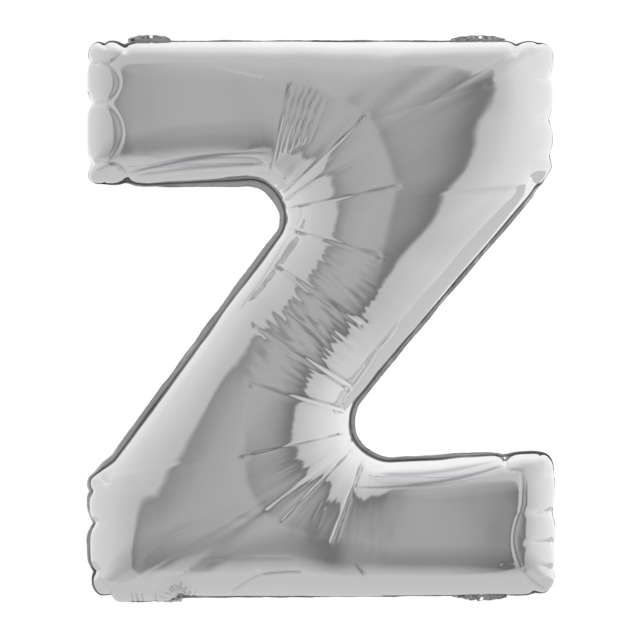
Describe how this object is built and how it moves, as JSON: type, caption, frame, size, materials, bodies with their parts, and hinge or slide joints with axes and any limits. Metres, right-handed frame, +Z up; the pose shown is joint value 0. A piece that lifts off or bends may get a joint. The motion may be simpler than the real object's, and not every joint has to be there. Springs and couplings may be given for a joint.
{
  "type": "letter foil balloon",
  "caption": "Silver foil balloon in the shape of the letter Z, inflated, with hang tabs along the welded border and a folded-back filling tail.",
  "frame": {"origin": "middle of the letter, in the plane of the weld between the two panels, where the gas and the air hold it up", "axes": "+X to the reader's right along the letter's bars, +Z up the letter, the reader looks along +Y so the front panel is on the -Y side"},
  "size_m": [0.7304, 0.2778, 0.8956],
  "materials": {
    "front_panel_foil": "mirror-bright crinkled foil",
    "back_panel_foil": "mirror-bright crinkled foil",
    "weld_foil": "satin heat-sealed foil",
    "tail_foil": "satin crumpled foil"
  },
  "bodies": {
    "root": {"front_panel": "front_panel_foil", "back_panel": "back_panel_foil", "seam_border": "weld_foil", "hang_tab_top_left": "weld_foil", "hang_tab_top_right": "weld_foil", "hang_tab_bottom_right": "weld_foil", "filling_tail": "tail_foil"}
  },
  "joints": []
}
